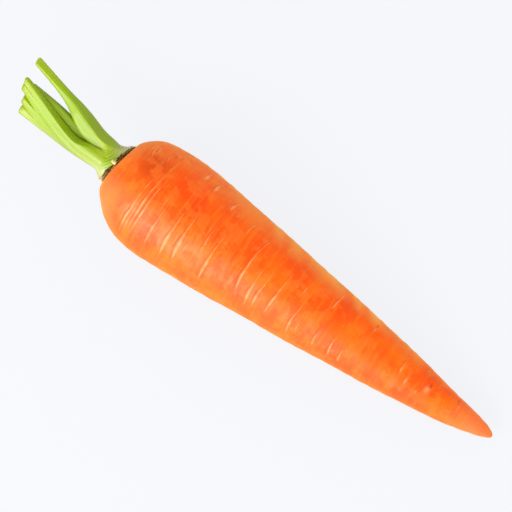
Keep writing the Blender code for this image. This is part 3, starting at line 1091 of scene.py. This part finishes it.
# %% Dry leaf bases
# From and to round the crown (degrees from +Y towards +Z), height (mm) and where it is tallest.
DRY_LEAF_BASES = (
    (36, 86, 1.1, 0.75), (98, 152, 1.5, 0.35), (212, 262, 1.6, 0.5), (282, 338, 1.4, 0.5),
)
DRY_INNER, DRY_OUTER = 8.7, 9.35  # from the crown's centre (mm)
DRY_RINGS = 90
# The section of a scale, as shares of its thickness outwards and of its height upwards.
DRY_SECTION = (
    (0.1, -0.05), (0.5, -0.3), (0.95, -0.42), (1.1, -0.1), (1.15, 0.2), (1.1, 0.5),
    (0.95, 0.8), (0.75, 1.0), (0.55, 1.02), (0.4, 0.9), (0.25, 0.6), (0.12, 0.3),
)


def rim_points(degrees, reach, height):
    """Points round the crown's rim, this far out and this far above the rim's plane."""
    across = CROWN_CENTRE_Y + reach * np.cos(np.radians(degrees))
    rim = CROWN_X - CROWN_GAP + CROWN_SLANT * across
    return np.stack([rim - height, across, reach * np.sin(np.radians(degrees))], -1)


dry_pieces = []
for number, (start, end, height, peak) in enumerate(DRY_LEAF_BASES, 1):
    step = np.linspace(0, 1, DRY_RINGS)
    degrees = start + (end - start) * step
    torn = 0.75 + 0.15 * np.sin(degrees * 0.31 + number) + 0.1 * np.sin(degrees * 1.1)
    torn += chance.normal(0, 0.05, DRY_RINGS)
    tops = height * torn * (0.22 + 0.78 * np.exp(-(((step - peak) / 0.28) ** 2)))
    thick = 0.2 + 0.8 * np.sin(math.pi * step) ** 0.7
    rings = []
    for i, (out, up) in enumerate(DRY_SECTION):
        fibre = 0.06 * np.sin(degrees * 2.3 + number) + 0.05 * np.sin(degrees * 5.1)
        reach = DRY_INNER + (DRY_OUTER - DRY_INNER) * out * thick + fibre * up
        rings.append(rim_points(degrees, reach, tops * up))
    rings = np.moveaxis(np.array(rings), 0, 1)
    fade = np.broadcast_to(np.array([up for _, up in DRY_SECTION]), rings.shape[:2])
    name = f"dry_leaf_base_{number}"
    dry_pieces.append(
        tube_skin(name + "_scale", rings, {"up_scale": fade}, name)
    )
print("dry scale faces:", [len(piece.data.polygons) for piece in dry_pieces])

# %% [markdown]
# Dry leaf base is dead fibre: matt and brown, straw coloured where the fibres stand apart, and painted
# almost black as shade in its folds.

# %% Material of the dry bases
# Dead papery fibre: no shine at all, brown and straw strands, with painted shade in the near-black
# gaps between them.
dry_material, tree, shader = new_material("dry_leaf_base_papery", IOR=1.45, Roughness=0.85)
place = add_node(tree, "ShaderNodeTexCoord").outputs["Object"]
drawn_out = add_node(tree, "ShaderNodeMapping", {"Vector": place, "Scale": (0.2, 1.0, 1.0)})
fibre = add_node(
    tree,
    "ShaderNodeTexNoise",
    {"Vector": drawn_out.outputs["Vector"], "Scale": PER_METRE / 0.6, "Detail": 4.0, "Roughness": 0.7},
)
# brown and straw are the fibre's own colours; the near-black end of the ramp is painted shade in the
# folds
fibre_tone_and_painted_shade = add_node(
    tree,
    "ShaderNodeValToRGB",
    {"Fac": fibre.outputs["Fac"]},
    stops=((0.34, "#1C0F03"), (0.46, "#46300E"), (0.58, "#7A5A24"), (0.7, "#BCA060")),
)
tree.links.new(fibre_tone_and_painted_shade.outputs["Color"], shader.inputs["Base Color"])
fibre_bump = add_node(
    tree, "ShaderNodeBump", {"Height": fibre.outputs["Fac"], "Strength": 0.8, "Distance": 0.2 * MM}
)
tree.links.new(fibre_bump.outputs["Normal"], shader.inputs["Normal"])
for piece in dry_pieces:
    piece.data.materials.append(dry_material)

# %% [markdown]
# ## The stump of a small broken leaf
# Between two dry bases a small leaf broke off and left a short cream stump with a torn top.

# %% Broken stump
STUMP_DEGREES, STUMP_REACH, STUMP_RADIUS, STUMP_HEIGHT = 93, 9.5, 0.7, 1.9
STUMP_LEAN = math.radians(22)
STUMP_SIDES = 40
around = np.arange(STUMP_SIDES) / STUMP_SIDES * math.tau
base = rim_points(STUMP_DEGREES, STUMP_REACH, STUMP_HEIGHT / 3)
axis = np.array((-math.cos(STUMP_LEAN), 0, math.sin(STUMP_LEAN)))
side_a = np.array((0, 1.0, 0))
side_b = np.cross(axis, side_a)
# Up the stump as a share of its height, and its width as a share of the full width.
STUMP_PROFILE = (
    (-0.5, 1.0), (-0.3, 1.04), (-0.1, 0.94), (0.1, 0.84), (0.25, 0.78),
    (0.38, 0.74), (0.46, 0.66), (0.44, 0.5), (0.34, 0.3), (0.3, 0.1),
)
rings = []
for up, size in STUMP_PROFILE:
    ragged = 1 + 0.07 * np.sin(5 * around + 1) + 0.04 * np.sin(11 * around)
    rise = up * STUMP_HEIGHT + 0.22 * max(up, 0) * (np.sin(3 * around + 2) + 0.6 * np.sin(8 * around))
    wide = STUMP_RADIUS * size * ragged
    sideways = np.outer(wide * np.cos(around), side_a) + np.outer(wide * np.sin(around), side_b)
    rings.append(base + np.outer(rise, axis) + sideways)
rings = np.array(rings)
stump = tube_skin("broken_stalk_torn_stump", rings, {}, "broken_stalk_stump")
print("stump faces:", len(stump.data.polygons))

# %% [markdown]
# Torn stalk flesh has no skin and no wax: it is cream, dull and rough from broken cells.

# %% Material of the stump
# Torn flesh: pale and matt, with a rough bump that breaks up its light side.
stump_material, tree, shader = new_material("broken_stalk_torn_flesh", IOR=1.4, Roughness=0.6)
place = add_node(tree, "ShaderNodeTexCoord").outputs["Object"]
torn = add_node(tree, "ShaderNodeTexNoise", {"Vector": place, "Scale": PER_METRE / 0.8, "Detail": 4.0})
torn_tone = add_node(
    tree,
    "ShaderNodeValToRGB",
    {"Fac": torn.outputs["Fac"]},
    stops=((0.3, "#B8A860"), (0.55, "#DCD490"), (0.75, "#E8E0A8")),
)
tree.links.new(torn_tone.outputs["Color"], shader.inputs["Base Color"])
torn_bump = add_node(
    tree, "ShaderNodeBump", {"Height": torn.outputs["Fac"], "Strength": 0.6, "Distance": 0.15 * MM}
)
tree.links.new(torn_bump.outputs["Normal"], shader.inputs["Normal"])
stump.data.materials.append(stump_material)

# %% [markdown]
# ## A pale lit table
# A table of opal plastic lit from below is the plain way to get a pale even ground with almost
# no shadow. So the table glows a little and also scatters the light that falls on it.

# %% Table
TABLE_SIZE = 6.0
low, high = cad_box
table_mesh = bpy.data.meshes.new("table")
half = TABLE_SIZE / 2
table_corners = [(x * half, y * half, low.z) for x, y in ((-1, -1), (1, -1), (1, 1), (-1, 1))]
table_mesh.from_pydata(table_corners, [], [(0, 1, 2, 3)])
table = bpy.data.objects.new("table", table_mesh)
bpy.context.scene.collection.objects.link(table)
table.visible_glossy = False
# Opal plastic: even and matt, so that nothing competes with the carrot.
table_material, tree, shader = new_material(
    "table_opal_plastic_lit",
    Base_Color=(0.06, 0.0606, 0.0612, 1),
    Roughness=0.9,
    Specular_IOR_Level=0.0,
    Emission_Color=colour("#F5F7FB"),
    Emission_Strength=0.905,
)
table_mesh.materials.append(table_material)
print(f"table at z {low.z / MM:.2f} mm")

# %% [markdown]
# ## Soft studio light
# One large soft light stands on the -Y side, and makes the broad satin shine along the root.

# %% Key light
def soft_light(name, azimuth, elevation, distance, size, watts, shade="#FFFFFF"):
    """A square soft light that faces the carrot. Azimuth 0 is the -Y side and 90 the +X side."""
    lamp = bpy.data.lights.new(name, "AREA")
    lamp.size, lamp.energy, lamp.color = size, watts, colour(shade)[:3]
    lit = bpy.data.objects.new(name, lamp)
    a, e = math.radians(azimuth), math.radians(elevation)
    towards = Vector((math.sin(a) * math.cos(e), -math.cos(a) * math.cos(e), math.sin(e)))
    lit.location = (low + high) / 2 + towards * distance
    lit.rotation_euler = towards.to_track_quat("Z", "Y").to_euler()
    bpy.context.scene.collection.objects.link(lit)
    return lit


key = soft_light("key_light", azimuth=-10, elevation=35, distance=0.9, size=0.8, watts=9.6)
print("key light at, mm:", [round(v / MM) for v in key.location])

# %% [markdown]
# Even pale light from all round fills the rest, as a white tent does. A sun lamp that is as wide
# as the sky gives that light without a grey veil of reflections, and the world behind it stays
# bright for the camera alone.

# %% Light from all round
SKY_WIDTH = math.radians(178)
sky_lamp = bpy.data.lights.new("white_tent", "SUN")
sky_lamp.angle, sky_lamp.energy = SKY_WIDTH, 3.05
sky = bpy.data.objects.new("white_tent", sky_lamp)
sky.visible_glossy = False
sky_lamp.cycles.use_multiple_importance_sampling = False
bpy.context.scene.collection.objects.link(sky)
world = bpy.data.worlds.new("studio")
world.use_nodes = True
tree = world.node_tree
background = tree.nodes["Background"]
background.inputs["Color"].default_value = colour("#F5F7FB")
seen = add_node(tree, "ShaderNodeLightPath").outputs["Is Camera Ray"]
strength = add_node(tree, "ShaderNodeMapRange", {"Value": seen, "To Min": 0.14, "To Max": 1.0})
tree.links.new(strength.outputs["Result"], background.inputs["Strength"])
bpy.context.scene.world = world
bpy.context.scene.view_settings.view_transform = "Standard"
print("sky lamp strength:", sky_lamp.energy)

# %% [markdown]
# ## Camera
# It hangs straight above the table and is turned, so that the root runs down to the right.

# %% Camera
LENS, SENSOR = 200.0, 36.0
FIELD_WIDTH = 0.1955
CAMERA_TURN = math.radians(35.63)
AIM_ALONG, AIM_ACROSS = 66.6, 4.3  # the middle of the frame, in the root's frame (mm)
lens = bpy.data.cameras.new("camera")
lens.lens, lens.sensor_width = LENS, SENSOR
camera = bpy.data.objects.new("camera", lens)
aim = lay_down((AIM_ALONG, AIM_ACROSS, 0))
square_to_root = Matrix.Rotation(REST_TILT, 3, "Y")
camera.location = Vector(aim) + square_to_root @ Vector((0, 0, FIELD_WIDTH * LENS / SENSOR))
camera.rotation_euler = (square_to_root @ Matrix.Rotation(CAMERA_TURN, 3, "Z")).to_euler()
bpy.context.scene.collection.objects.link(camera)
bpy.context.scene.camera = camera
print(f"camera {camera.location.z:.2f} m above the table")
